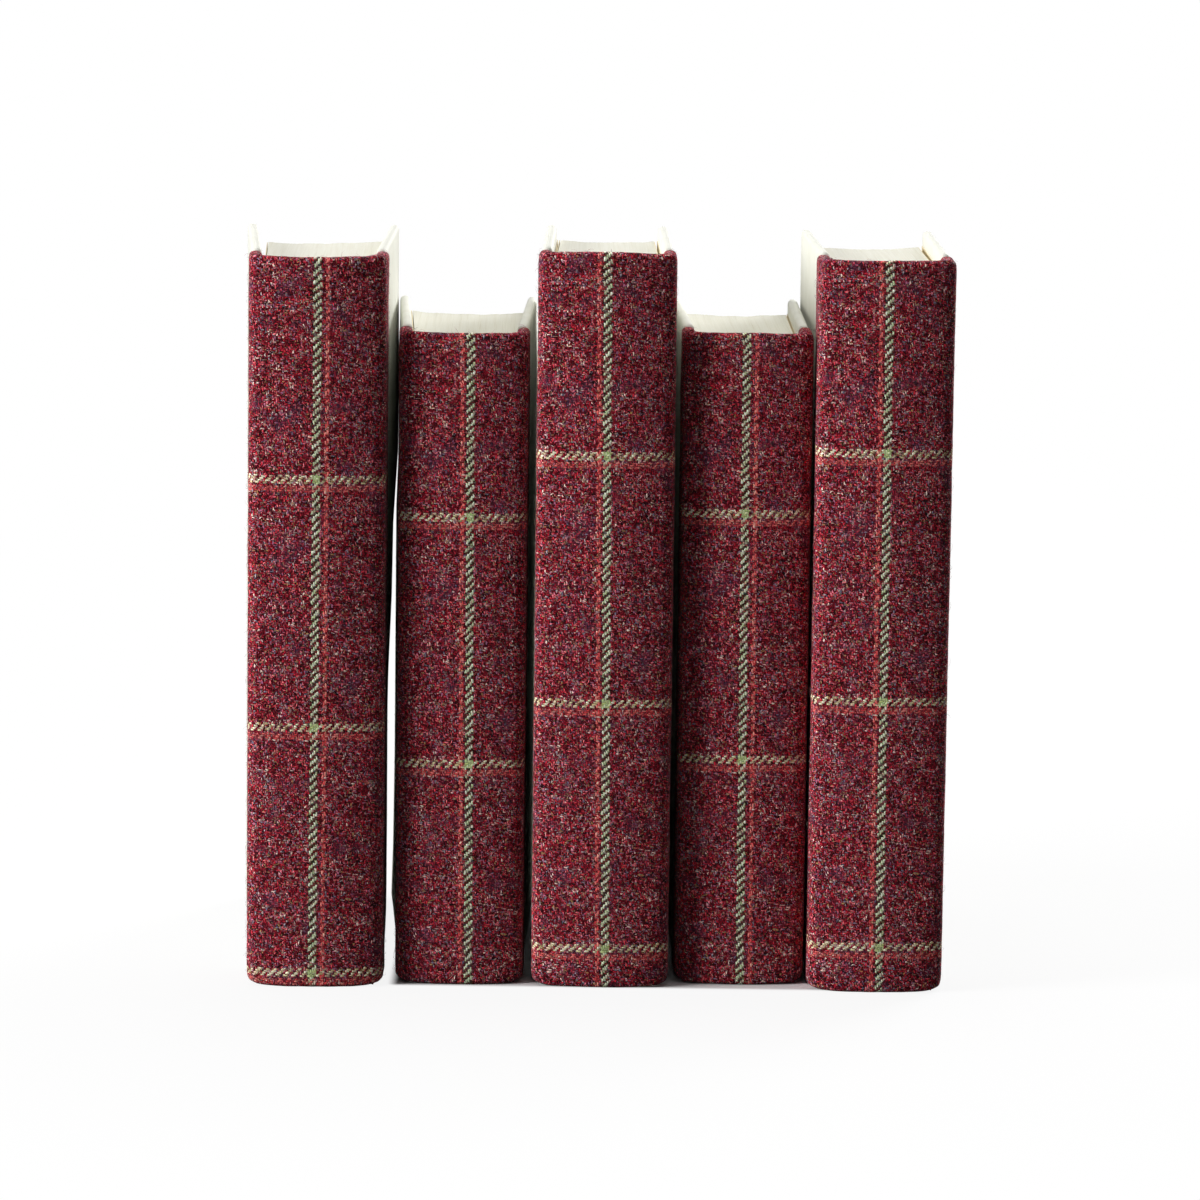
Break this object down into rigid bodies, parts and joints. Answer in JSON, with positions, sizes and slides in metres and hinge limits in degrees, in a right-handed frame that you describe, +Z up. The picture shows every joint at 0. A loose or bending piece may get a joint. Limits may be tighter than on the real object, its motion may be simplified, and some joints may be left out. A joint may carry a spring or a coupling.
{
  "type": "row of books",
  "caption": "Upright hardback books standing side by side, tall and short by turns, with tweed spines and ivory boards; the two end covers open.",
  "frame": {"origin": "on the shelf, under the middle of the whole row's box", "axes": "+Z up, +Y from the spines towards the fore-edges, +X from book 1 towards book 5"},
  "size_m": [0.234, 0.1526, 0.2358],
  "materials": {
    "tweed": "heathered woollen twill with an open check of green, cream and coral lines",
    "ivory_covering": "matte ivory covering with a faint grain",
    "millboard": "dense grey board, hidden by the coverings",
    "spine_card": "plain card, hidden by the cloth",
    "page_paper": "cut page edges with fine lines",
    "endpaper": "plain cream paper",
    "spine_lining": "open gauze pressed onto paper"
  },
  "bodies": {
    "root": {"book_1_left_flyleaf": "endpaper", "book_1_pages": "page_paper", "book_1_right_board": "millboard", "book_1_right_endpaper": "endpaper", "book_1_right_siding": "ivory_covering", "book_1_spine_card": "spine_card", "book_1_spine_lining": "spine_lining", "book_1_tweed": "tweed", "book_2_left_board": "millboard", "book_2_left_endpaper": "endpaper", "book_2_left_siding": "ivory_covering", "book_2_pages": "page_paper", "book_2_right_board": "millboard", "book_2_right_endpaper": "endpaper", "book_2_right_siding": "ivory_covering", "book_2_spine_card": "spine_card", "book_2_spine_lining": "spine_lining", "book_2_tweed": "tweed", "book_3_left_board": "millboard", "book_3_left_endpaper": "endpaper", "book_3_left_siding": "ivory_covering", "book_3_pages": "page_paper", "book_3_right_board": "millboard", "book_3_right_endpaper": "endpaper", "book_3_right_siding": "ivory_covering", "book_3_spine_card": "spine_card", "book_3_spine_lining": "spine_lining", "book_3_tweed": "tweed", "book_4_left_board": "millboard", "book_4_left_endpaper": "endpaper", "book_4_left_siding": "ivory_covering", "book_4_pages": "page_paper", "book_4_right_board": "millboard", "book_4_right_endpaper": "endpaper", "book_4_right_siding": "ivory_covering", "book_4_spine_card": "spine_card", "book_4_spine_lining": "spine_lining", "book_4_tweed": "tweed", "book_5_left_board": "millboard", "book_5_left_endpaper": "endpaper", "book_5_left_siding": "ivory_covering", "book_5_pages": "page_paper", "book_5_right_flyleaf": "endpaper", "book_5_spine_card": "spine_card", "book_5_spine_lining": "spine_lining", "book_5_tweed": "tweed"},
    "left_cover": {"book_1_left_board": "millboard", "book_1_left_siding": "ivory_covering", "book_1_left_pastedown": "endpaper", "book_1_tweed_flap": "tweed"},
    "right_cover": {"book_5_right_board": "millboard", "book_5_right_siding": "ivory_covering", "book_5_right_pastedown": "endpaper", "book_5_tweed_flap": "tweed"}
  },
  "joints": [
    {"name": "left_cover_hinge", "type": "hinge", "parent": "root", "child": "left_cover", "pos_m": [-0.10676, -0.06818, 0], "axis": [0, 0, 1], "range_deg": [-1.2, 160]},
    {"name": "right_cover_hinge", "type": "hinge", "parent": "root", "child": "right_cover", "pos_m": [0.11626, -0.06529, 0], "axis": [0, 0, -1], "range_deg": [-0.5, 160]}
  ]
}
